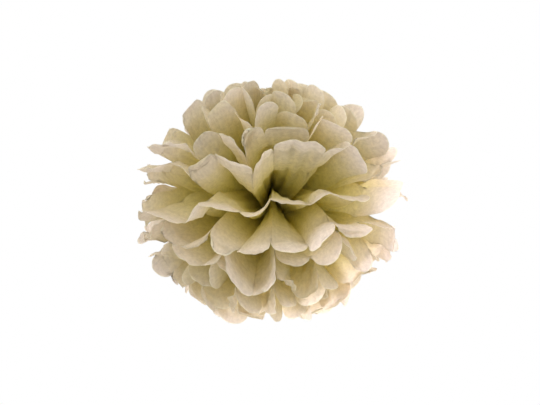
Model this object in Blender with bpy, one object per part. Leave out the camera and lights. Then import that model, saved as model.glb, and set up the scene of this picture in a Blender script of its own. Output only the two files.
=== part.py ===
# A tissue paper pom pom: a stack of pleated sheets, tied round the waist and opened into a ball.
# The pleats run along the sheets' length, so each end of the stack opens into a fan of petals.
# +Z is the ball's axis, and the origin is the middle of the tie, where every petal starts.
import math

import bpy
import numpy as np

# The cut sheet, in metres
SHEET_LENGTH = 0.350
PLEATS = 12
PLEAT_WIDTH = 0.042
NOTCH = 0.021  # how far the corners of each pleat's end are rounded back
ROUNDNESS = 0.85  # 1 rounds the ends to half ellipses, and less makes them fuller
PAPER = 0.0003
CLEARANCE = 0.0003  # least gap between two sheets, and between the wire's two strands

# The tie
WAIST = 0.010  # half of the pinched width
NECK = 0.72  # share of the full spread that the folds keep at the tie
NECK_LENGTH = 0.040
WIRE = 0.0008
WIRE_GAP = 0.0008
CORNER = 0.0012  # bend of the wire at the waist's corners
TAIL = 0.020
TAIL_TURNS = 3

# The opened ball, with all angles in degrees
SLIT = 50  # heading of the gap between the two fans, from the front towards +X
SPREAD = 84  # outermost fold's angle from the middle of its fan
EDGE_PLAY = 2  # how far past SPREAD an outermost fold may swing
BEND = 0.032  # length over which a sheet turns up or down from the tie
SHORTENED = 0.08  # share of their reach that the steep sheets lose to crumpling
SHORTENED_LIFTS = (8, 50)  # lifts between which this loss sets in
TAPER = 0.3  # how fast a pinched pleat opens on its way out: less opens sooner
SHEETS = (
    # name, lift and turn in degrees, and the shuffle of its creases
    ("sheet_top", 77, 2, 159),
    ("sheet_upper_4", 62, -2, 68),
    ("sheet_upper_3", 46, 2, 93),
    ("sheet_upper_2", 31, -3, 11),
    ("sheet_upper_1", 16, 1, 31),
    ("sheet_middle", 0, -5, 160),
    ("sheet_lower_1", -15, -5, 6),
    ("sheet_lower_2", -29, 3, 27),
    ("sheet_lower_3", -44, -4, 212),
    ("sheet_lower_4", -57, 3, 7),
    ("sheet_bottom", -71, -3, 24),
)
SHUFFLE = 81

# What keeps the stack nested
NEST = 0.035  # length from the tie over which all the sheets swing alike
STEEPEST_LIFT = 80
LEAST_LIFT_STEP = 10  # least angle between two neighbouring sheets
LEAST_OPENING = 0.02  # least chord of a pinched pleat, in panel widths
HEIGHT_LIMIT = 1.3  # most height of a fold over its middle surface, in panel widths
LEVEL_FOLDS = 4  # folds on each side whose average is the level a fold swings about
UPRIGHT = 84  # no fold leans past this, so none crosses the axis

# How fluffing left the creases. Shares are of a pleat's angle, of its height or of the reach.
HUB_SHARE = 0.12  # uneven gathering that all the sheets share
TURN_SHARE = 0.20
TURN_GROWTH = 2  # how late along a fold its own turn sets in
DEPTH_SHARE = 0.18
MOST_SHARE = 0.4  # no turn or depth passes this share
LENGTH_SHARE = 0.03
LENGTH_LIMITS = (-0.07, 0.05)
RISE = 2.2
SWAY = 3.0  # rise and fall in slow waves round a fan
SWAY_WAVES = (0.7, 1.6)  # waves along one fan
CURL = 8.0
LEAN = 3.0  # most that a steep sheet's fold leans round the axis
LEAN_LIFTS = (35, 70)  # lifts between which this leaning sets in
CROWDING = 0.65  # share of the unevenness that the crowded steep sheets lose
CROWDED_LIFTS = (50, 80)

# Where along the reach each of these sets in, and where it is full
DEPTH_SPAN = (0.10, 0.60)
RISE_SPAN = (0.15, 0.70)
LEAN_SPAN = (0.40, 0.90)
CURL_SPAN = (0.55, 1.00)

# Looks
PAPER_COLOUR = (0.60, 0.50, 0.31)
WIRE_COLOUR = (0.55, 0.55, 0.56)

# The facets
RINGS = (0.010, 0.018, 0.040, 0.100)  # facet rings, by length from the tie
RIM_POINTS = 4
CORNER_STEPS = 3
TURN_STEPS = 6
SAMPLES = 161
SPARE = 0.06  # share of the reach by which the crease lines run past it
TINY = 1e-6

PITCH = PAPER + CLEARANCE
REACH = SHEET_LENGTH / 2
STEP = 2 * SPREAD / PLEATS
FOLDS = PLEATS + 1
UP = np.array([0.0, 0.0, 1.0])


def smooth(x, low, high):
    """0 below low, 1 above high, and an S-curve between."""
    t = np.clip((x - low) / (high - low), 0, 1)
    return t * t * (3 - 2 * t)


def along(s, span):
    """How far a change over part of the reach has set in at the lengths s."""
    return smooth(s / REACH, *span)


def turned_up(s):
    """How far the bend at the tie has turned a sheet at the lengths s, from 0 to 1."""
    return np.sin(np.pi / 2 * np.minimum(s / BEND, 1))


def heading(degrees):
    """Level direction at an angle from the front (-Y) towards +X."""
    angle = math.radians(degrees)
    return np.array([math.sin(angle), -math.cos(angle), 0.0])


def clear_scene():
    for thing in list(bpy.context.scene.objects):
        bpy.data.objects.remove(thing, do_unlink=True)


def material(name, colour, roughness, metallic):
    made = bpy.data.materials.new(name)
    made.use_nodes = True
    principled = made.node_tree.nodes["Principled BSDF"]
    principled.inputs["Base Color"].default_value = (*colour, 1.0)
    principled.inputs["Roughness"].default_value = roughness
    principled.inputs["Metallic"].default_value = metallic
    return made


def drift(rng, size):
    """Two slow waves along the folds of both fans."""
    place = np.arange(FOLDS) / PLEATS
    waves = 0
    for cycles in SWAY_WAVES:
        height = rng.normal(0, size, (2, 1))
        start = rng.uniform(0, 2 * np.pi, (2, 1))
        waves = waves + height * np.sin(2 * np.pi * cycles * place + start)
    return waves


def hub_shape(shuffle):
    """What every sheet shares, so that the stack stays nested: uneven pleats and leaning folds."""
    rng = np.random.default_rng(shuffle)
    uneven = rng.uniform(-HUB_SHARE, HUB_SHARE, (2, FOLDS)) * STEP
    lean = np.clip(drift(rng, 1.0), -1, 1) * LEAN * (-1.0) ** np.arange(FOLDS)
    return {"uneven": uneven, "lean": lean}


def handling(shuffle, lift):
    """How fluffing left each fold of one sheet: values for [fan, fold] or [fan, pleat]."""
    rng = np.random.default_rng(shuffle)
    folds = (2, FOLDS)
    loose = 1 - CROWDING * smooth(abs(lift), *CROWDED_LIFTS)
    turn = np.clip(rng.normal(0, TURN_SHARE, folds), -MOST_SHARE, MOST_SHARE) * STEP
    rise = rng.normal(0, RISE, folds) + drift(rng, SWAY)
    curl = rng.normal(0, CURL, folds)
    depth = np.clip(rng.normal(0, DEPTH_SHARE, folds), -MOST_SHARE, MOST_SHARE)
    length = np.clip(rng.normal(0, LENGTH_SHARE, (2, PLEATS)), *LENGTH_LIMITS)
    return {
        "turn": turn * loose,
        "rise": rise * loose,
        "curl": curl * loose,
        "depth": depth * loose,
        "length": length * loose,
    }


def running_sum(values, step):
    """Integral of values along their last axis, by the middle of each step."""
    before = np.concatenate([values[..., :1], values[..., :-1]], -1)
    return np.cumsum((values + before) / 2 * step, -1)


def zigzag(chord, panel):
    """Heights of the folds over the middle surface, so that each panel spans its chord."""
    fall = np.sqrt(np.maximum(panel**2 - np.minimum(chord, panel) ** 2, 0))
    sign = (-1.0) ** np.arange(PLEATS)[:, None]
    start = np.zeros_like(chord[:, :1])
    height = np.concatenate([start, np.cumsum(fall * sign, 1)], 1)
    weights = np.concatenate([[0.5], np.ones(2 * LEVEL_FOLDS - 1), [0.5]]) / (2 * LEVEL_FOLDS)
    first = np.repeat(height[:, :1], LEVEL_FOLDS, 1)
    last = np.repeat(height[:, -1:], LEVEL_FOLDS, 1)
    padded = np.concatenate([first, height, last], 1)
    level = sum(weight * padded[:, i : i + FOLDS] for i, weight in enumerate(weights))
    limit = HEIGHT_LIMIT * panel.mean(1, keepdims=True) + TINY
    return limit * np.tanh((height - level) / limit)


def swept(out, height, angle):
    """Points at a distance from the axis, a height and a fan angle.

    The waist is a line of half-width WAIST, so the folds leave it as a hyperbola's branches do.
    """
    ahead, across = heading(SLIT - 90), heading(SLIT)
    fan = np.array([1.0, -1.0])[:, None, None]
    forward = (out * np.cos(angle) * fan)[..., None]
    sideways = (np.sqrt(out**2 + WAIST**2) * np.sin(angle))[..., None]
    return forward * ahead + sideways * across + height[..., None] * UP


def middle_line(s, lift, rise, curl):
    """Distance from the axis and height of a fold that swings to neither side."""
    step = np.diff(s, prepend=0.0)
    slope = np.radians(
        lift * turned_up(s)
        + rise[..., None] * along(s, RISE_SPAN)
        + curl[..., None] * along(s, CURL_SPAN)
    )
    return running_sum(np.cos(slope), step), running_sum(np.sin(slope), step)


def fan_angles(s, uneven, turn):
    """Angle of each fold from the middle of its fan, in radians."""
    opened = NECK + (1 - NECK) * smooth(s, 0, NECK_LENGTH)
    angle = np.linspace(-SPREAD, SPREAD, FOLDS)[:, None] * opened
    angle = angle + uneven[..., None] * smooth(s, 0, BEND)
    angle = angle + turn[..., None] * (s / REACH) ** TURN_GROWTH
    return np.radians(np.clip(angle, -SPREAD - EDGE_PLAY, SPREAD + EDGE_PLAY))


def swing_of(s, out, height, angle):
    """How far each fold swings from the middle surface, by the paper that it takes up."""
    step = np.diff(s, prepend=0.0)
    chord = np.linalg.norm(np.diff(swept(out, height, angle), axis=1), axis=-1)
    # Near the tie the pleats are only as steep as the paper between two sheets allows.
    spacing = PITCH + np.radians(LEAST_LIFT_STEP) * running_sum(turned_up(s), step)
    steepest = np.clip(PITCH / spacing, LEAST_OPENING, 1)
    panel = PLEAT_WIDTH * (np.maximum(s, TINY) / REACH) ** TAPER
    return zigzag(chord, np.minimum(panel, chord / steepest))


def fold_lines(order, lift, turn, hand, hub):
    """Points [fan, fold, sample, xyz] along every crease of one sheet, from the tie outwards."""
    s = np.linspace(0, REACH * (1 + SPARE), SAMPLES)
    still = np.zeros((2, FOLDS))

    # The stack's common swing, which the steepest sheet sets, gives way to the sheet's own.
    shared_angle = fan_angles(s, hub["uneven"], still)
    shared = swing_of(s, *middle_line(s, STEEPEST_LIFT, still, still), shared_angle)
    out, height = middle_line(s, lift, hand["rise"], hand["curl"])
    angle = fan_angles(s, hub["uneven"], hand["turn"] + turn)
    own = swing_of(s, out, height, angle) * (1 + hand["depth"][..., None] * along(s, DEPTH_SPAN))
    swing = shared + (own - shared) * smooth(s, NEST, 2 * NEST)

    # A fold swings about the tie, so that its length from the tie stays the same.
    distance = np.sqrt(out**2 + height**2) + TINY
    upright = math.radians(UPRIGHT)
    tilt = np.clip(np.arctan2(height, out) + swing / distance, -upright, upright)
    lean = np.radians(hub["lean"])[..., None] * along(s, LEAN_SPAN) * smooth(abs(lift), *LEAN_LIFTS)
    level = ((len(SHEETS) - 1) / 2 - order) * PITCH
    return s, swept(distance * np.cos(tilt), distance * np.sin(tilt) + level, angle + lean)


def point_at(s, line, distance):
    """Point on a crease at a length from the tie."""
    return np.array([np.interp(distance, s, line[:, i]) for i in range(3)])


def rim_profile():
    """Places across a pleat's rounded end, and how far each lies back from its tip."""
    turns = np.pi * np.arange(1, RIM_POINTS + 1) / (RIM_POINTS + 1)
    across = (1 - np.cos(turns)) / 2
    back = NOTCH * (1 - np.sin(turns) ** ROUNDNESS)
    return across, back


def sheet_mesh(order, lift, turn, shuffle, hub):
    """One sheet's middle surface: rings of creases to the notches, then each pleat's rounded end."""
    hand = handling(shuffle, lift)
    s, folds = fold_lines(order, lift, turn, hand, hub)
    reach = REACH * (1 - SHORTENED * smooth(abs(lift), *SHORTENED_LIFTS))
    lengths = reach * (1 + hand["length"])
    points = [point_at(s, folds[0, j], 0.0) for j in range(FOLDS)]
    faces = []
    for fan in (0, 1):
        inner = list(range(FOLDS))
        either = np.concatenate([lengths[fan, :1], lengths[fan], lengths[fan, -1:]])
        notch = (either[:-1] + either[1:]) / 2 - NOTCH
        for ring in (*RINGS, None):
            first = len(points)
            for j in range(FOLDS):
                points.append(point_at(s, folds[fan, j], notch[j] if ring is None else ring))
            outer = list(range(first, len(points)))
            for j in range(PLEATS):
                faces += [
                    [inner[j], outer[j], outer[j + 1]],
                    [inner[j], outer[j + 1], inner[j + 1]],
                ]
            inner = outer
        for j in range(PLEATS):
            first = len(points)
            for across, back in zip(*rim_profile()):
                left = point_at(s, folds[fan, j], lengths[fan, j] - back)
                right = point_at(s, folds[fan, j + 1], lengths[fan, j] - back)
                points.append(left + (right - left) * across)
            loop = [inner[j], *range(first, len(points)), inner[j + 1]]
            while len(loop) > 2:
                faces += [[loop[0], loop[1], loop[-2]], [loop[0], loop[-2], loop[-1]]]
                loop = loop[1:-1]
        if fan == 0:
            split = len(faces)
    faces = faces[:split] + [face[::-1] for face in faces[split:]]
    return points, faces


def add_sheet(name, paper, order, lift, turn, shuffle, hub):
    points, faces = sheet_mesh(order, lift, turn, shuffle, hub)
    mesh = bpy.data.meshes.new(name)
    mesh.from_pydata(points, [], faces)
    mesh.materials.append(paper)
    sheet = bpy.data.objects.new(name, mesh)
    bpy.context.scene.collection.objects.link(sheet)
    solidify = sheet.modifiers.new("paper", "SOLIDIFY")
    solidify.thickness = PAPER
    solidify.offset = 0.0
    return sheet


def corner_arc(across_middle, up_middle, start):
    """Quarter turn of the wire round one corner of the waist, as (across, up) pairs."""
    turns = [start + math.pi / 2 * i / CORNER_STEPS for i in range(CORNER_STEPS + 1)]
    return [
        (across_middle + CORNER * math.cos(turn), up_middle + CORNER * math.sin(turn))
        for turn in turns
    ]


def wire_route():
    """Centre line of the wire: in along a twisted tail, round the waist, and out along it."""
    half_wide = WAIST * math.sin(math.radians(SPREAD * NECK)) + WIRE_GAP + WIRE / 2
    half_high = (len(SHEETS) - 1) / 2 * PITCH + PAPER / 2 + WIRE_GAP + WIRE / 2
    wide, high = half_wide - CORNER, half_high - CORNER
    quarter = math.pi / 2
    loop = corner_arc(wide, high, 0)
    loop += corner_arc(-wide, high, quarter)
    loop += corner_arc(-wide, -high, 2 * quarter)
    loop += corner_arc(wide, -high, 3 * quarter)
    ahead, across = heading(SLIT - 90), heading(SLIT)
    twist = (WIRE + CLEARANCE) / 2
    steps = TAIL_TURNS * TURN_STEPS
    strands = []
    for first in (0, math.pi):
        strand = []
        for i in range(steps + 1):
            turn = first + 2 * math.pi * TAIL_TURNS * i / steps
            place = half_wide + CORNER + TAIL * i / steps
            offset = UP * math.cos(turn) + ahead * math.sin(turn)
            strand.append(across * place + offset * twist)
        strands.append(strand)
    round_waist = [across * a + UP * u for a, u in loop]
    return [*strands[0][::-1], *round_waist, *strands[1]]


def add_wire(name, metal):
    curve = bpy.data.curves.new(name, "CURVE")
    curve.dimensions = "3D"
    curve.bevel_depth = WIRE / 2
    curve.bevel_resolution = 1
    curve.use_fill_caps = True
    route = wire_route()
    spline = curve.splines.new("POLY")
    spline.points.add(len(route) - 1)
    for point, place in zip(spline.points, route):
        point.co = (*place, 1.0)
    curve.materials.append(metal)
    wire = bpy.data.objects.new(name, curve)
    bpy.context.scene.collection.objects.link(wire)
    return wire


def main():
    clear_scene()
    paper = material("tissue paper", PAPER_COLOUR, 0.85, 0.0)
    metal = material("florist wire", WIRE_COLOUR, 0.35, 1.0)
    hub = hub_shape(SHUFFLE)
    for order, (name, lift, turn, shuffle) in enumerate(SHEETS):
        add_sheet(name, paper, order, lift, turn, shuffle, hub)
    add_wire("waist_wire", metal)


main()
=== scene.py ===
import math

import bpy
import numpy as np
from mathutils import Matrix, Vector


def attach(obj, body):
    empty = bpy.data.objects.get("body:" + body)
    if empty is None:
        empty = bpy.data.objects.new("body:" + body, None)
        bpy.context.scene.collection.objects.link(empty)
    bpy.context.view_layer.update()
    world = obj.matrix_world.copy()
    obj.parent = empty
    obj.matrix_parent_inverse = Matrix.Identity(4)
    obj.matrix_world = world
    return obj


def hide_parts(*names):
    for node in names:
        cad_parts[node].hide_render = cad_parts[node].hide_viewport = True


# Tissue paper pom pom: eleven pleated sheets on one wire tie, opened into a ball of petals.
# Everything is in metres and degrees. +Z is the ball's axis and -Y faces the camera.
# In the formulas, s is a length along a sheet from the tie, t is the same as a share of a petal,
# and share runs from 0 to 1 across one pleat. A span is where a change sets in and where it is done.
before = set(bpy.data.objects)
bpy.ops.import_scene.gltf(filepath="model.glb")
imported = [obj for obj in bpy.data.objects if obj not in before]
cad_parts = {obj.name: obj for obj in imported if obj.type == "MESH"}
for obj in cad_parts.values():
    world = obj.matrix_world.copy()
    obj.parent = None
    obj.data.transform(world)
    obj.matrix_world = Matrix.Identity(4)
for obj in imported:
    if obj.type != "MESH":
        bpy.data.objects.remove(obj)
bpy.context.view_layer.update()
scene = bpy.context.scene
print("frame loaded:", len(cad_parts), "nodes")


# Helpers
leastLength = 1e-6  # these two keep divisions off zero
leastArea = 1e-9
noiseMiddle = (0.3, 0.7)  # most values of a noise texture lie between these


def smooth(x, low, high):
    # 0 below low, 1 above high, and t*t*(3 - 2t) between
    t = np.clip((x - low) / (high - low), 0, 1)
    return t * t * (3 - 2 * t)


def heading(degrees):
    # level direction, from the front (-Y) towards +X
    turn = math.radians(degrees)
    return np.array([math.sin(turn), -math.cos(turn), 0.0])


def srgb(code):
    # sRGB hex to the linear colour that the shaders work in
    parts = [int(code[i : i + 2], 16) / 255 for i in (1, 3, 5)]
    linear = [c / 12.92 if c <= 0.04045 else ((c + 0.055) / 1.055) ** 2.4 for c in parts]
    return (*linear, 1.0)


def emptyTree(owner):
    # the node tree of a material or a world, cleared
    owner.use_nodes = True
    owner.node_tree.nodes.clear()
    return owner.node_tree


def node(tree, kind, settings=None, **inputs):
    # one shader node: settings are its properties, and inputs its sockets by name, or by number
    # ("i6") where sockets share a name. An output is linked, and anything else is set.
    made = tree.nodes.new(kind)
    for name, value in (settings or {}).items():
        setattr(made, name, value)
    for name, value in inputs.items():
        numbered = name[0] == "i" and name[1:].isdigit()
        socket = made.inputs[int(name[1:]) if numbered else name.replace("_", " ")]
        if isinstance(value, bpy.types.NodeSocket):
            tree.links.new(value, socket)
        else:
            socket.default_value = value
    return made


# How the sheets are cut, tied and opened
cut = {
    "length": 0.350,
    "pleats": 12,
    "pleatWidth": 0.042,
    "notch": 0.021,  # how far each pleat's corners are rounded back
    "roundness": 0.85,  # 1 is the arc of an ellipse, and less is blunter
    "thickness": 0.00006,  # tissue is nearer 0.03 mm: drawn twice as thick so that its edge catches light
}
tie = {
    "halfWidth": 0.010,  # half of the line that the wire pinches the sheets to
    "neck": 0.72,  # share of the spread that the folds have right at the tie
    "neckLength": 0.040,
    "pitch": 0.0006,  # from one sheet to the next in the stack
}
opened = {
    "slit": 50,  # heading of the seam between the two fans
    "spread": 89,  # how far each fan opens to either side
    "ease": 1.055,  # the solids stop short of the slit, and the paper's pleats widen to close it
    "edgePlay": 0.7,  # how far a fold may pass the spread
    "edgeOpen": 0.6,  # most that an outermost fold lies back from the spread
    "bend": 0.032,  # length over which a sheet turns up or down at the tie
    "shortened": 0.08,  # share of their length that the crushed, steep sheets lose
    "shortenedLifts": (8, 50),  # none of it below the first lift, all of it above the second
    "taper": 0.12,  # the solids' pleats are pinched more near the tie, the paper's hardly
    "nest": 0.035,  # up to here all the sheets share one zigzag, and past twice as far each has its own
    "steepestLift": 80,  # lift of a sheet with the shared zigzag
    "leastLiftStep": 10,  # angle between neighbouring sheets that sets how steep a zigzag may be
    "leastOpening": 0.02,  # least distance between two folds, as a share of the paper between them
    "heightLimit": 1.3,  # most that a fold stands out, in widths of a pleat
    "levelFolds": 4,  # folds to either side that a zigzag's height is levelled over
    "upright": 84,  # steepest that a petal stands
    "samples": 161,  # points along a crease
    "spare": 0.06,  # how far past the reach the creases are worked out, as a share of it
}
fluffed = {
    "hubShare": 0.12,  # unevenness that the sheets have in common, as a share of a pleat's turn
    "turnShare": 0.20,  # a fold's own turn, as a share of a pleat's turn
    "turnGrowth": 2,  # power of the length that the turns grow with
    "depthShare": 0.18,  # how much deeper or flatter a fold is
    "mostShare": 0.4,  # most of either
    "lengthShare": 0.03,  # how much a petal's length varies
    "lengthLimits": (-0.07, 0.05),  # least and most of that
    "rise": 2.2,  # degrees by which single folds rise or drop
    "sway": 3.0,  # degrees by which neighbouring folds do so together
    "swayWaves": (0.7, 1.6),  # waves of that along a fan
    "curl": 8.0,  # degrees at the tips
    "lean": 3.0,  # degrees by which folds lean to alternate sides
    "leanLifts": (35, 70),
    "crowding": 0.65,  # how much less the steep sheets vary
    "crowdedLifts": (50, 80),
    "depthSpan": (0.10, 0.60),  # where along the reach each change sets in and is done
    "riseSpan": (0.15, 0.70),
    "leanSpan": (0.40, 0.90),
    "curlSpan": (0.55, 1.00),
}
stack = [
    {"name": "top", "lift": 77, "turn": 2, "shuffle": 159},
    {"name": "upper_4", "lift": 62, "turn": -2, "shuffle": 68},
    {"name": "upper_3", "lift": 46, "turn": 2, "shuffle": 93},
    {"name": "upper_2", "lift": 31, "turn": -3, "shuffle": 11},
    {"name": "upper_1", "lift": 16, "turn": 1, "shuffle": 31},
    {"name": "middle", "lift": 0, "turn": -5, "shuffle": 160},
    {"name": "lower_1", "lift": -15, "turn": -5, "shuffle": 6},
    {"name": "lower_2", "lift": -29, "turn": 3, "shuffle": 27},
    {"name": "lower_3", "lift": -44, "turn": -4, "shuffle": 212},
    {"name": "lower_4", "lift": -57, "turn": 3, "shuffle": 7},
    {"name": "bottom", "lift": -71, "turn": -3, "shuffle": 24},
]
hubShuffle = 81

reach = cut["length"] / 2
pleats = cut["pleats"]
folds = pleats + 1
pleatTurn = 2 * opened["spread"] / pleats
up = np.array([0.0, 0.0, 1.0])


def along(s, span):
    # how far a change over part of the reach has set in at the lengths s
    return smooth(s / reach, *span)


def turnedUp(s):
    # sin of a quarter turn over the bend at the tie
    return np.sin(np.pi / 2 * np.minimum(s / opened["bend"], 1))


def slowWaves(rng, size):
    # two sine waves of random height and start along the folds of each fan, added up
    place = np.arange(folds) / pleats
    waves = 0
    for cycles in fluffed["swayWaves"]:
        height = rng.normal(0, size, (2, 1))
        start = rng.uniform(0, 2 * np.pi, (2, 1))
        waves = waves + height * np.sin(2 * np.pi * cycles * place + start)
    return waves


def sharedHub(shuffle):
    # what all the sheets share: uneven pleats, and folds that lean to alternate sides
    rng = np.random.default_rng(shuffle)
    uneven = rng.uniform(-fluffed["hubShare"], fluffed["hubShare"], (2, folds)) * pleatTurn
    lean = np.clip(slowWaves(rng, 1.0), -1, 1) * fluffed["lean"] * (-1.0) ** np.arange(folds)
    return {"uneven": uneven, "lean": lean}


def sheetHandling(shuffle, lift):
    # normal noise for each fold's turn, rise, curl and depth and each pleat's length,
    # held within limits and made smaller on the crowded steep sheets
    rng = np.random.default_rng(shuffle)
    both = (2, folds)
    most = fluffed["mostShare"]
    loose = 1 - fluffed["crowding"] * smooth(abs(lift), *fluffed["crowdedLifts"])
    turn = np.clip(rng.normal(0, fluffed["turnShare"], both), -most, most) * pleatTurn
    rise = rng.normal(0, fluffed["rise"], both) + slowWaves(rng, fluffed["sway"])
    curl = rng.normal(0, fluffed["curl"], both)
    depth = np.clip(rng.normal(0, fluffed["depthShare"], both), -most, most)
    length = np.clip(rng.normal(0, fluffed["lengthShare"], (2, pleats)), *fluffed["lengthLimits"])
    hand = {"turn": turn, "rise": rise, "curl": curl, "depth": depth, "length": length}
    return {key: value * loose for key, value in hand.items()}


def runningSum(values, step):
    # integral along the last axis by the middle of each step
    before = np.concatenate([values[..., :1], values[..., :-1]], -1)
    return np.cumsum((values + before) / 2 * step, -1)


def zigzag(chord, panel):
    # each panel climbs or falls by sqrt(panel^2 - chord^2); the moving average of the
    # neighbouring folds is taken off, and tanh keeps the rest within a limit
    fall = np.sqrt(np.maximum(panel**2 - np.minimum(chord, panel) ** 2, 0))
    sign = (-1.0) ** np.arange(pleats)[:, None]
    height = np.concatenate([np.zeros_like(chord[:, :1]), np.cumsum(fall * sign, 1)], 1)
    near = opened["levelFolds"]
    weights = np.concatenate([[0.5], np.ones(2 * near - 1), [0.5]]) / (2 * near)
    padded = np.pad(height, ((0, 0), (near, near), (0, 0)), "edge")
    level = sum(weight * padded[:, i : i + folds] for i, weight in enumerate(weights))
    limit = opened["heightLimit"] * panel.mean(1, keepdims=True) + leastLength
    return limit * np.tanh((height - level) / limit)


def swept(out, height, angle):
    # from the tie's line of half-width w: forward = out*cos(angle), across = sqrt(out^2 + w^2)*sin(angle)
    ahead, across = heading(opened["slit"] - 90), heading(opened["slit"])
    fan = np.array([1.0, -1.0])[:, None, None]
    forward = (out * np.cos(angle) * fan)[..., None]
    sideways = (np.sqrt(out**2 + tie["halfWidth"] ** 2) * np.sin(angle))[..., None]
    return forward * ahead + sideways * across + height[..., None] * up


def middleLine(s, lift, rise, curl):
    # integrals of cos and sin of the slope: lift at the tie's bend, then rise, then the tip's curl
    step = np.diff(s, prepend=0.0)
    slope = np.radians(
        lift * turnedUp(s)
        + rise[..., None] * along(s, fluffed["riseSpan"])
        + curl[..., None] * along(s, fluffed["curlSpan"])
    )
    return runningSum(np.cos(slope), step), runningSum(np.sin(slope), step)


def fanAngles(s, uneven, turn):
    # even spacing over the spread, narrower at the tie, with the folds' own turns growing as
    # (s/reach)^n, and the two fans' outermost folds close to each other across the slit
    spread, play = opened["spread"], opened["edgePlay"]
    widened = tie["neck"] + (1 - tie["neck"]) * smooth(s, 0, tie["neckLength"])
    angle = np.linspace(-spread, spread, folds)[:, None] * widened
    angle = angle + uneven[..., None] * smooth(s, 0, opened["bend"])
    angle = angle + turn[..., None] * (s / reach) ** fluffed["turnGrowth"]
    edge = spread * widened - opened["edgeOpen"]
    angle[:, 0] = np.minimum(angle[:, 0], -edge)
    angle[:, -1] = np.maximum(angle[:, -1], edge)
    return np.radians(np.clip(angle, -spread - play, spread + play))


def swingOf(s, out, height, angle):
    # the zigzag that takes up the paper between the folds, no steeper than the neighbours allow
    step = np.diff(s, prepend=0.0)
    chord = np.linalg.norm(np.diff(swept(out, height, angle), axis=1), axis=-1)
    spacing = tie["pitch"] + np.radians(opened["leastLiftStep"]) * runningSum(turnedUp(s), step)
    steepest = np.clip(tie["pitch"] / spacing, opened["leastOpening"], 1)
    tapered = (np.maximum(s, leastLength) / reach) ** opened["taper"]
    panel = cut["pleatWidth"] * opened["ease"] * tapered
    return zigzag(chord, np.minimum(panel, chord / steepest))


def foldLines(order, lift, turn, hand, hub):
    # every crease from the tie outwards, [fan, fold, sample, xyz]: the middle line's distance is
    # kept, and the swing turns it about the tie by swing/distance
    s = np.linspace(0, reach * (1 + opened["spare"]), opened["samples"])
    still = np.zeros((2, folds))
    sharedAngle = fanAngles(s, hub["uneven"], still)
    shared = swingOf(s, *middleLine(s, opened["steepestLift"], still, still), sharedAngle)
    out, height = middleLine(s, lift, hand["rise"], hand["curl"])
    angle = fanAngles(s, hub["uneven"], hand["turn"] + turn)
    deeper = 1 + hand["depth"][..., None] * along(s, fluffed["depthSpan"])
    own = swingOf(s, out, height, angle) * deeper
    swing = shared + (own - shared) * smooth(s, opened["nest"], 2 * opened["nest"])
    distance = np.sqrt(out**2 + height**2) + leastLength
    upright = math.radians(opened["upright"])
    tilt = np.clip(np.arctan2(height, out) + swing / distance, -upright, upright)
    leaning = along(s, fluffed["leanSpan"]) * smooth(abs(lift), *fluffed["leanLifts"])
    angle = angle + np.radians(hub["lean"])[..., None] * leaning
    level = ((len(stack) - 1) / 2 - order) * tie["pitch"]
    return s, swept(distance * np.cos(tilt), distance * np.sin(tilt) + level, angle)


# The petals' own form
petal = {
    "across": 14,  # columns across one pleat, closer together at its creases
    "rows": 68,
    "rowsCloser": 1.7,  # how much closer together the rows come towards the tip
    "widthAtTie": 0.35,  # share of the pleat's width that its forms are sized by near the tie
    "creaseFade": 0.7,  # how soon the small forms die out towards the creases
    "shuffle": 1000,  # seed of these forms, to which the sheet's own shuffle is added
    "shuffleStep": 7,  # added once more for each sheet down the stack
    "bow": 0.095,  # how far a petal is cupped, in shares of its width
    "bowSpan": (0.15, 0.8),
    "keel": 0.055,  # a straight crease along the petal, in shares of its width
    "keelSpan": (0.2, 0.7),
    "keelPlaces": (0.3, 0.7),
    "roll": 0.0045,  # how far a rounded end curls out of its pleat's plane
    "rollMean": 0.3,  # share of it that petals have on average
    "rollVaried": 0.6,
    "rollGrowth": 1.6,
    "crinkled": 0.25,  # share of the petals that were handled most
    "crinkledMore": 2.6,  # times as high are the wrinkles and crumples on those
    "smoothLess": 0.55,  # and on the others
    "wrinkle": 0.0005,  # height of the small folds that run outwards
    "wrinkleSpan": (0.10, 0.45),
    "wrinkles": (1.4, 2.3, 3.1),  # how many cross one pleat
    "wrinkleDrift": 0.5,
    "wrinkleMean": 0.6,
    "wrinkleVaried": 0.4,
    "crumple": 0.0007,  # height of the small folds that run across the petal
    "crumpleSpan": (0.25, 0.6),
    "crumples": (2.5, 4.5, 7.0),  # how many lie along one petal
    "crumpleSway": 0.4,
    "crumpleVaried": 0.6,
    "gather": 1.1,  # slope of the fine gathers that fill the pleats near the tie
    "gathers": 3,
    "gatherStart": (0.008, 0.024),  # lengths over which they set in
    "gatherEnd": (0.35, 0.85),  # shares of the petal over which they smooth out
    "crush": 0.0021,  # height of the crosswise creases left where the steep sheets were crushed
    "crushes": 9,
    "crushSway": 0.8,
    "crushedLifts": (20, 70),
    "rim": 0.0006,  # how far the cut edge waves
    "rimSpan": (0.82, 1.0),
    "rimWaves": ((2.2, 1.0), (4.1, 0.7)),  # how many cross one pleat, and their height
}
turnedOver = {
    "shuffle": 500,
    "petals": 0.26,  # share of the petals whose end is folded over
    "angles": (30, 135),
    "depths": (0.32, 0.66),  # how far from the tip the fold lies, in notches
    "corners": 0.05,  # share of the width over which the fold dies out at a crease
    "slant": 0.20,  # most that the fold's line slants, in shares of the width
    "radius": 0.0026,
}


def foldedWave(x):
    # triangle wave of period 1 between -1 and 1: paper creases where cloth would wave
    return 2 / np.pi * np.arcsin(np.sin(2 * np.pi * x))


def cutArc(share):
    # the rounded end between two creases: sin(arccos(1 - 2*share)) to the power of the roundness
    return np.sin(np.arccos(np.clip(1 - 2 * share, -1, 1))) ** cut["roundness"]


def onGrid(values, pleat):
    # one value for each petal of both fans, given to all the points of its petal
    return values[:, pleat][:, None, :]


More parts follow.
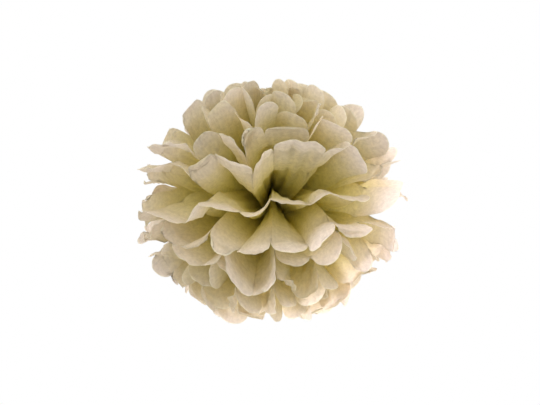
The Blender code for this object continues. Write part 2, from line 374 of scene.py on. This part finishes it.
def gridOf(lines, s, wanted, pleat, share):
    # points on the creases at the lengths wanted, and the straight line between two creases;
    # a place stays just short of the last sample, so that there is always a next one
    place = np.clip(wanted / (s[1] - s[0]), 0, len(s) - 1.001)
    low = place.astype(int)
    rest = (place - low)[..., None]
    fan = np.arange(2)[:, None, None]
    pleat = np.broadcast_to(pleat, wanted.shape)
    left = lines[fan, pleat, low] * (1 - rest) + lines[fan, pleat, low + 1] * rest
    right = lines[fan, pleat + 1, low] * (1 - rest) + lines[fan, pleat + 1, low + 1] * rest
    return left * (1 - share[..., None]) + right * share[..., None]


def normalsOf(grid):
    # unit cross product of the grid's two directions
    out = np.gradient(grid, axis=1)
    side = np.gradient(grid, axis=2)
    normal = np.cross(side, out)
    return normal / np.maximum(np.linalg.norm(normal, axis=-1, keepdims=True), leastArea)


def petalForm(rng, share, pleat, t, s, lengths, crowded):
    # offset along the normal: an arch w*sin(pi*share) and a straight keel across each petal of
    # width w, the roll of its rounded end, folded waves that run outwards and others that run
    # across, gathers and crushed creases near the tie, and a wavy rim. All but the arch, keel and
    # roll are scaled by sin(pi*share)^fade, so that they die out towards the creases.
    def varied(size):
        return onGrid(rng.normal(0, size, (2, pleats)), pleat)

    def between(low, high):
        return onGrid(rng.uniform(low, high, (2, pleats)), pleat)

    width = cut["pleatWidth"] * (petal["widthAtTie"] + (1 - petal["widthAtTie"]) * s / reach)
    window = np.sin(np.pi * share) ** petal["creaseFade"]
    offset = varied(petal["bow"]) * width * np.sin(np.pi * share) * smooth(t, *petal["bowSpan"])
    crease = between(*petal["keelPlaces"])
    keel = np.minimum(share / crease, (1 - share) / (1 - crease))
    offset = offset + varied(petal["keel"]) * width * keel * smooth(t, *petal["keelSpan"])
    notch = np.clip((s - (lengths - cut["notch"])) / cut["notch"], 0, 1)
    rolled = varied(petal["rollVaried"]) + petal["rollMean"]
    offset = offset + rolled * petal["roll"] * notch ** petal["rollGrowth"]

    handled = np.where(between(0, 1) < petal["crinkled"], petal["crinkledMore"], petal["smoothLess"])
    ripple = 0
    for count in petal["wrinkles"]:
        wave = foldedWave(count * share + between(0, 1) + varied(petal["wrinkleDrift"]) * t)
        ripple = ripple + wave * (petal["wrinkleMean"] + varied(petal["wrinkleVaried"]))
    offset = offset + petal["wrinkle"] * handled * ripple * window * along(s, petal["wrinkleSpan"])
    crumple = 0
    for count in petal["crumples"]:
        phase = count * t + between(0, 1)
        phase = phase + petal["crumpleSway"] * np.sin(2 * np.pi * (share + between(0, 1)))
        crumple = crumple + foldedWave(phase) * varied(petal["crumpleVaried"])
    offset = offset + petal["crumple"] * handled * crumple * window * smooth(t, *petal["crumpleSpan"])

    # a folded wave of slope g with n folds in the width w is g*w/(4n) high
    count = petal["gathers"]
    gather = petal["gather"] * width / (4 * count) * foldedWave(count * share + between(0, 1)) * window
    phase = petal["crushes"] * t + between(0, 1)
    phase = phase + petal["crushSway"] * foldedWave(share + between(0, 1))
    crush = petal["crush"] * crowded * window * foldedWave(phase)
    nearTie = smooth(s, *petal["gatherStart"]) * (1 - smooth(t, *petal["gatherEnd"]))
    offset = offset + (gather + crush) * nearTie
    rim = 0
    for count, height in petal["rimWaves"]:
        rim = rim + height * foldedWave(count * share + between(0, 1))
    return offset + petal["rim"] * rim * smooth(t, *petal["rimSpan"]) * window


def turnOver(rng, share, pleat, s, lengths):
    # past a slanted line a chosen petal's end turns over: on an arc of radius r and angle a the
    # length grows by r*sin(a) and the height by r*(1 - cos(a)), and then both run straight on
    every = (2, pleats)
    angle = np.radians(rng.uniform(*turnedOver["angles"], every))
    side = onGrid(np.where(rng.uniform(0, 1, every) < 0.5, -1.0, 1.0), pleat)
    angle = onGrid(np.where(rng.uniform(0, 1, every) < turnedOver["petals"], angle, 0.0), pleat)
    depth = onGrid(rng.uniform(*turnedOver["depths"], every), pleat) * cut["notch"]
    slant = onGrid(rng.uniform(-1, 1, every), pleat) * turnedOver["slant"] * cut["pleatWidth"]
    line = lengths - depth + slant * (share - 0.5)
    past = np.maximum(s - line, 0) * smooth(np.minimum(share, 1 - share), 0, turnedOver["corners"])
    radius = turnedOver["radius"]
    turned = np.minimum(past / radius, angle)
    straight = past - radius * turned
    forward = radius * np.sin(turned) + straight * np.cos(turned)
    height = radius * (1 - np.cos(turned)) + straight * np.sin(turned)
    return s - past + forward, side * height


def petalLengths(pleat, share, lift, lengthened):
    # each petal's length at every column: steep sheets are shortened, a petal's own change is
    # added, and a crease has the mean of its two petals
    shortened = 1 - opened["shortened"] * smooth(abs(lift), *opened["shortenedLifts"])
    full = reach * shortened * (1 + lengthened)
    lengths = full[:, pleat]
    creased = (share == 0) & (pleat > 0)
    return np.where(creased, (lengths + full[:, np.maximum(pleat - 1, 0)]) / 2, lengths)


def throughTie(values):
    # both fans' rows in one piece: from fan A's rim to the tie, and on to fan B's rim
    return np.concatenate([values[0][::-1], values[1][1:]], 0)


def buildSheet(order, made, hub):
    # one sheet as a grid: rows from rim to rim, and columns at (1 - cos(pi*step))/2 across each
    # pleat. A point is on the plane between its two creases, moved along the normal.
    lift = made["lift"]
    hand = sheetHandling(made["shuffle"], lift)
    s, lines = foldLines(order, lift, made["turn"], hand, hub)
    step = np.arange(petal["across"]) / petal["across"]
    share = np.concatenate([np.tile((1 - np.cos(np.pi * step)) / 2, pleats), [1.0]])
    pleat = np.concatenate([np.repeat(np.arange(pleats), petal["across"]), [pleats - 1]])
    lengths = petalLengths(pleat, share, lift, hand["length"])[:, None, :]
    ends = lengths - cut["notch"] * (1 - cutArc(share))
    t = 1 - (1 - np.linspace(0, 1, petal["rows"])[None, :, None]) ** petal["rowsCloser"]
    wanted = ends * t
    across = np.broadcast_to(share, wanted.shape)

    overRng = np.random.default_rng(turnedOver["shuffle"] + made["shuffle"])
    folded, turned = turnOver(overRng, across, pleat, wanted, lengths)
    rng = np.random.default_rng(petal["shuffle"] + made["shuffle"] + petal["shuffleStep"] * order)
    crowded = smooth(abs(lift), *petal["crushedLifts"])
    offset = petalForm(rng, across, pleat, t, wanted, lengths, crowded)
    offset = np.where((across == 0) | (across == 1), 0, offset)
    normals = normalsOf(gridOf(lines, s, wanted, pleat, across))
    points = throughTie(gridOf(lines, s, folded, pleat, across) + normals * (offset + turned)[..., None])

    rows, columns = points.shape[:2]
    flatAcross = np.broadcast_to((pleat + share) * cut["pleatWidth"], (rows, columns))
    flatAlong = throughTie(wanted * np.array([1.0, -1.0])[:, None, None]) + reach
    tone = np.broadcast_to(onGrid(rng.normal(0, 1, (2, pleats)), pleat), wanted.shape)
    return {
        "points": points.reshape(-1, 3),
        "rows": rows,
        "columns": columns,
        "flat": np.stack([flatAcross, flatAlong], -1).reshape(-1, 2),
        "rim": throughTie(ends - wanted).reshape(-1),
        "tone": throughTie(tone).reshape(-1),
    }


def addSheet(name, form, paper):
    # grid to mesh: four corners per face, and the sheet's own flat place as its UV map
    rows, columns = form["rows"], form["columns"]
    index = np.arange(rows * columns).reshape(rows, columns)
    quads = np.stack([index[:-1, :-1], index[:-1, 1:], index[1:, 1:], index[1:, :-1]], -1).reshape(-1, 4)
    mesh = bpy.data.meshes.new(name)
    mesh.vertices.add(rows * columns)
    mesh.vertices.foreach_set("co", form["points"].astype(np.float32).reshape(-1))
    mesh.loops.add(quads.size)
    mesh.loops.foreach_set("vertex_index", quads.astype(np.int32).reshape(-1))
    mesh.polygons.add(len(quads))
    mesh.polygons.foreach_set("loop_start", np.arange(0, quads.size, 4, dtype=np.int32))
    mesh.update(calc_edges=True)
    flatMap = mesh.uv_layers.new(name="flatSheet")
    flatMap.data.foreach_set("uv", form["flat"][quads.reshape(-1)].astype(np.float32).reshape(-1))
    for key in ("rim", "tone"):
        mark = mesh.attributes.new(key, "FLOAT", "POINT")
        mark.data.foreach_set("value", form[key].astype(np.float32))
    mesh.materials.append(paper)
    mesh.shade_smooth()
    sheet = bpy.data.objects.new(name, mesh)
    scene.collection.objects.link(sheet)
    wall = sheet.modifiers.new("paper", "SOLIDIFY")
    wall.thickness = cut["thickness"]
    wall.offset = 0.0
    return sheet


# Tissue paper
tissueLook = {
    # the cut edge is painted lighter: a painted highlight where the edge catches light
    "rimPaintedHighlight": "#fefbee",
    "outerColour": "#eee5ca",
    # near the tie the paper is painted deeper and greener: painted shade for light that has passed through
    # many layers
    "innerPaintedShadeColour": "#eee79a",
    "glowColour": "#faf3f1",  # what comes through one layer
    "innerPaintedShadeGlow": "#f4edac",
    "paintedShadeSpan": (0.076, 0.172),  # distances from the tie between which the painted shade near the tie turns to the outer colour
    "through": 0.66,  # share of the light that goes through
    "roughness": 0.8,
    "specular": 0.25,
    "rimPaintedHighlightWidth": 0.0016,  # the band along the cut edge that is painted lighter as a highlight
    "petalTone": 0.025,  # how much lighter or darker whole petals are
    "cloud": 0.0045,  # soft cloudy patches of fibre, real size
    "cloudDetail": 5.0,
    "cloudRoughness": 0.68,
    "cloudTones": (0.90, 1.06),  # the darkest and the lightest patch
    "crease": 0.011,  # distance between the fine creases
    "creaseWidth": 0.12,  # in shares of the distance between creases
    "fibre": 0.0008,  # drawn twice as coarse as real fibre flocks
    "fibreDetail": 2.0,
    "fibreRelief": 0.35,  # against 1 for a crease
    "cloudRelief": 1.4,
    "bumpStrength": 0.35,
    "bumpHeight": 0.0004,
}


def tissuePaper():
    # crepeless tissue, machine glazed on one side: thin enough to glow, cloudy where its fibres
    # bunch, and finely creased by the hands that opened it. Towards the tie the colour is painted
    # deeper and greener as painted shade, for the light that has passed through many layers, and
    # the cut edge is painted lighter as a painted highlight.
    look = tissueLook
    paper = bpy.data.materials.new("dyedTissuePaintedShadeAndHighlight")
    tree = emptyTree(paper)
    flat = node(tree, "ShaderNodeUVMap", {"uv_map": "flatSheet"}).outputs[0]
    place = node(tree, "ShaderNodeTexCoord").outputs["Object"]
    fromTie = node(tree, "ShaderNodeVectorMath", {"operation": "LENGTH"}, i0=place).outputs["Value"]
    rim = node(tree, "ShaderNodeAttribute", {"attribute_name": "rim"}).outputs["Fac"]
    tone = node(tree, "ShaderNodeAttribute", {"attribute_name": "tone"}).outputs["Fac"]
    cloud = node(
        tree, "ShaderNodeTexNoise", {"noise_dimensions": "2D"}, Vector=flat,
        Scale=1 / look["cloud"], Detail=look["cloudDetail"], Roughness=look["cloudRoughness"],
    ).outputs["Fac"]
    fibre = node(
        tree, "ShaderNodeTexNoise", {"noise_dimensions": "2D"}, Vector=flat,
        Scale=1 / look["fibre"], Detail=look["fibreDetail"],
    ).outputs["Fac"]
    creases = node(
        tree, "ShaderNodeTexVoronoi", {"voronoi_dimensions": "2D", "feature": "DISTANCE_TO_EDGE"},
        Vector=flat, Scale=1 / look["crease"],
    ).outputs["Distance"]
    # 0 near the tie and 1 further out: where the painted shade near the tie fades
    outwards = node(
        tree, "ShaderNodeMapRange", {"interpolation_type": "SMOOTHSTEP"},
        Value=fromTie, From_Min=look["paintedShadeSpan"][0], From_Max=look["paintedShadeSpan"][1],
    ).outputs[0]
    # 1 at the cut edge, fading over the band: the mask of the painted highlight along the edge
    edge = node(
        tree, "ShaderNodeMapRange", Value=rim, From_Max=look["rimPaintedHighlightWidth"], To_Min=1.0, To_Max=0.0
    ).outputs[0]
    mottle = node(
        tree, "ShaderNodeMapRange", Value=cloud, From_Min=noiseMiddle[0], From_Max=noiseMiddle[1],
        To_Min=look["cloudTones"][0], To_Max=look["cloudTones"][1],
    ).outputs[0]
    multiplyAdd = {"operation": "MULTIPLY_ADD"}
    shade = node(tree, "ShaderNodeMath", multiplyAdd, i0=tone, i1=look["petalTone"], i2=mottle).outputs[0]

    def tinted(inner, outer):
        # inner to outer by distance from the tie, where inner is painted shade for light that has passed many
        # layers, lighter at the cut edge as a painted highlight, times the mottling
        mix = {"data_type": "RGBA"}
        base = node(tree, "ShaderNodeMix", mix, i0=outwards, i6=srgb(inner), i7=srgb(outer)).outputs[2]
        lit = node(tree, "ShaderNodeMix", mix, i0=edge, i6=base, i7=srgb(look["rimPaintedHighlight"])).outputs[2]
        return node(tree, "ShaderNodeVectorMath", {"operation": "SCALE"}, i0=lit, Scale=shade).outputs[0]

    crumpled = node(tree, "ShaderNodeMapRange", Value=creases, From_Max=look["creaseWidth"]).outputs[0]
    fine = node(tree, "ShaderNodeMath", multiplyAdd, i0=fibre, i1=look["fibreRelief"], i2=crumpled).outputs[0]
    relief = node(tree, "ShaderNodeMath", multiplyAdd, i0=cloud, i1=look["cloudRelief"], i2=fine).outputs[0]
    bump = node(
        tree, "ShaderNodeBump", Strength=look["bumpStrength"], Distance=look["bumpHeight"], Height=relief
    ).outputs[0]
    surface = node(
        tree, "ShaderNodeBsdfPrincipled", Base_Color=tinted(look["innerPaintedShadeColour"], look["outerColour"]),
        Roughness=look["roughness"], Specular_IOR_Level=look["specular"], Normal=bump,
    ).outputs[0]
    glow = node(
        tree, "ShaderNodeBsdfTranslucent", Color=tinted(look["innerPaintedShadeGlow"], look["glowColour"]), Normal=bump
    ).outputs[0]
    mixed = node(tree, "ShaderNodeMixShader", i0=look["through"], i1=surface, i2=glow).outputs[0]
    node(tree, "ShaderNodeOutputMaterial", Surface=mixed)
    return paper


# Binding wire
wireLook = {
    "colour": "#b9b8b4",
    "roughness": (0.28, 0.44),
    "dieLine": 0.0008,  # four times as coarse as the lines a die leaves, so that they show
    "dieLineDetail": 3.0,
    "spangle": 0.0012,
    "spangleTones": (0.88, 1.05),
    "bumpStrength": 0.3,
    "bumpHeight": 0.00003,
}


def floristWire():
    # drawn and galvanised steel wire: dull silver with fine lines and a faint zinc spangle
    look = wireLook
    steel = bpy.data.materials.new("galvanisedWire")
    tree = emptyTree(steel)
    place = node(tree, "ShaderNodeTexCoord").outputs["Object"]
    lines = node(
        tree, "ShaderNodeTexNoise", Vector=place, Scale=1 / look["dieLine"], Detail=look["dieLineDetail"]
    ).outputs["Fac"]
    spangle = node(tree, "ShaderNodeTexVoronoi", Vector=place, Scale=1 / look["spangle"]).outputs["Distance"]
    dull = node(
        tree, "ShaderNodeMapRange", Value=lines, From_Min=noiseMiddle[0], From_Max=noiseMiddle[1],
        To_Min=look["roughness"][0], To_Max=look["roughness"][1],
    ).outputs[0]
    grey = node(
        tree, "ShaderNodeMapRange", Value=spangle,
        To_Min=look["spangleTones"][0], To_Max=look["spangleTones"][1],
    ).outputs[0]
    colour = node(
        tree, "ShaderNodeVectorMath", {"operation": "SCALE"}, i0=srgb(look["colour"])[:3], Scale=grey
    ).outputs[0]
    bump = node(
        tree, "ShaderNodeBump", Strength=look["bumpStrength"], Distance=look["bumpHeight"], Height=lines
    ).outputs[0]
    metal = node(
        tree, "ShaderNodeBsdfPrincipled", Base_Color=colour, Metallic=1.0, Roughness=dull, Normal=bump
    ).outputs[0]
    node(tree, "ShaderNodeOutputMaterial", Surface=metal)
    return steel


# Make the ball
tissue = tissuePaper()
hub = sharedHub(hubShuffle)
for order, made in enumerate(stack):
    form = buildSheet(order, made, hub)
    piece = addSheet("tissue_" + made["name"], form, tissue)
    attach(piece, "root")
    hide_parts("sheet_" + made["name"])
print("sheets:", len(stack), "of", form["rows"], "by", form["columns"], "points")

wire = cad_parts["waist_wire"]
wire.data.materials.clear()
wire.data.materials.append(floristWire())
print("wire finished")


# Floor, light and camera
studio = {
    "floorHeight": -0.50,
    "floorReach": 1.15,
    "floorCorners": 96,
    "floorFade": (0.45, 1.05),  # distances from the middle between which the floor turns white
    "floorColours": ("#f1efeb", "#f6f5f2"),
    "floorRoughness": 0.9,
    "floorGrain": 0.004,
    "floorGrainDetail": 3.0,
    "ambient": 0.765,
    "lightBounces": 8,  # light crosses many thin layers before it leaves the ball
    "distance": 1.6,
    "sensor": 36,  # millimetres
    "pixelWidth": 540,
    "ballPixels": 276,  # as many of them as the sheet's length would take up at the tie
    "lamps": [
        # name, place, size, power, colour
        ("key", (-0.9, -1.1, 1.5), 1.2, 9.5, "#fafbe4"),
        ("backRight", (1.4, 0.9, -0.15), 1.1, 9, "#f7f2ff"),
        ("below", (0.30, 0.30, -0.44), 0.5, 6, "#f7f2ff"),
    ],
}
white = (1, 1, 1, 1)


def paleFloor():
    # matt painted floor that fades into the white surround at its edge
    paint = bpy.data.materials.new("paleFloorPaint")
    tree = emptyTree(paint)
    place = node(tree, "ShaderNodeTexCoord").outputs["Object"]
    level = node(tree, "ShaderNodeVectorMath", {"operation": "MULTIPLY"}, i0=place, i1=(1, 1, 0)).outputs[0]
    away = node(tree, "ShaderNodeVectorMath", {"operation": "LENGTH"}, i0=level).outputs["Value"]
    fade = node(
        tree, "ShaderNodeMapRange", {"interpolation_type": "SMOOTHSTEP"},
        Value=away, From_Min=studio["floorFade"][0], From_Max=studio["floorFade"][1],
    ).outputs[0]
    grain = node(
        tree, "ShaderNodeTexNoise",
        Vector=place, Scale=1 / studio["floorGrain"], Detail=studio["floorGrainDetail"],
    ).outputs["Fac"]
    dark, light = (srgb(code) for code in studio["floorColours"])
    tint = node(tree, "ShaderNodeMix", {"data_type": "RGBA"}, i0=grain, i6=dark, i7=light).outputs[2]
    matt = node(
        tree, "ShaderNodeBsdfPrincipled", Base_Color=tint, Roughness=studio["floorRoughness"]
    ).outputs[0]
    glow = node(tree, "ShaderNodeEmission", Color=white, Strength=1.0).outputs[0]
    mixed = node(tree, "ShaderNodeMixShader", i0=fade, i1=matt, i2=glow).outputs[0]
    node(tree, "ShaderNodeOutputMaterial", Surface=mixed)
    return paint


def layFloor():
    # one round face: corners at even turns, reach*(cos, sin)
    turns = np.linspace(0, 2 * np.pi, studio["floorCorners"], endpoint=False)
    corners = np.stack([np.cos(turns), np.sin(turns), np.zeros_like(turns)], 1) * studio["floorReach"]
    corners = corners + [0, 0, studio["floorHeight"]]
    mesh = bpy.data.meshes.new("floor")
    mesh.from_pydata(corners.tolist(), [], [list(range(len(turns)))])
    mesh.materials.append(paleFloor())
    floor = bpy.data.objects.new("floor", mesh)
    scene.collection.objects.link(floor)
    return floor


def softSurround():
    # white to the camera, in reflections and through clear things, and dimmer as a light
    world = bpy.data.worlds.new("softStudio")
    tree = emptyTree(world)
    path = node(tree, "ShaderNodeLightPath").outputs
    most = {"operation": "MAXIMUM"}
    seen = node(tree, "ShaderNodeMath", most, i0=path["Is Camera Ray"], i1=path["Is Glossy Ray"]).outputs[0]
    seen = node(tree, "ShaderNodeMath", most, i0=seen, i1=path["Is Transmission Ray"]).outputs[0]
    strength = node(
        tree, "ShaderNodeMix", {"data_type": "FLOAT"}, i0=seen, i2=studio["ambient"], i3=1.0
    ).outputs[0]
    sky = node(tree, "ShaderNodeBackground", Color=white, Strength=strength).outputs[0]
    node(tree, "ShaderNodeOutputWorld", Surface=sky)
    return world


def aimed(thing, place):
    # puts a lamp or camera at a place, looking at the middle of the ball
    thing.location = place
    thing.rotation_mode = "QUATERNION"
    thing.rotation_quaternion = (-Vector(place)).to_track_quat("-Z", "Y")
    scene.collection.objects.link(thing)


floor = layFloor()
print("floor laid")

for name, place, size, power, colour in studio["lamps"]:
    lamp = bpy.data.lights.new(name, "AREA")
    lamp.size = size
    lamp.energy = power
    lamp.color = srgb(colour)[:3]
    lampObject = bpy.data.objects.new(name, lamp)
    lampObject.visible_camera = False
    aimed(lampObject, place)

# the lens takes in pixelWidth/ballPixels times the sheet's length at the tie
camera = bpy.data.cameras.new("photoView")
camera.sensor_width = studio["sensor"]
viewWidth = studio["pixelWidth"] * cut["length"] / studio["ballPixels"]
camera.lens = studio["sensor"] * studio["distance"] / viewWidth
view = bpy.data.objects.new("photoView", camera)
aimed(view, (0, -studio["distance"], 0))

scene.world = softSurround()
scene.camera = view
scene.view_settings.view_transform = "Standard"
scene.cycles.diffuse_bounces = studio["lightBounces"]
print("lamps and camera set")
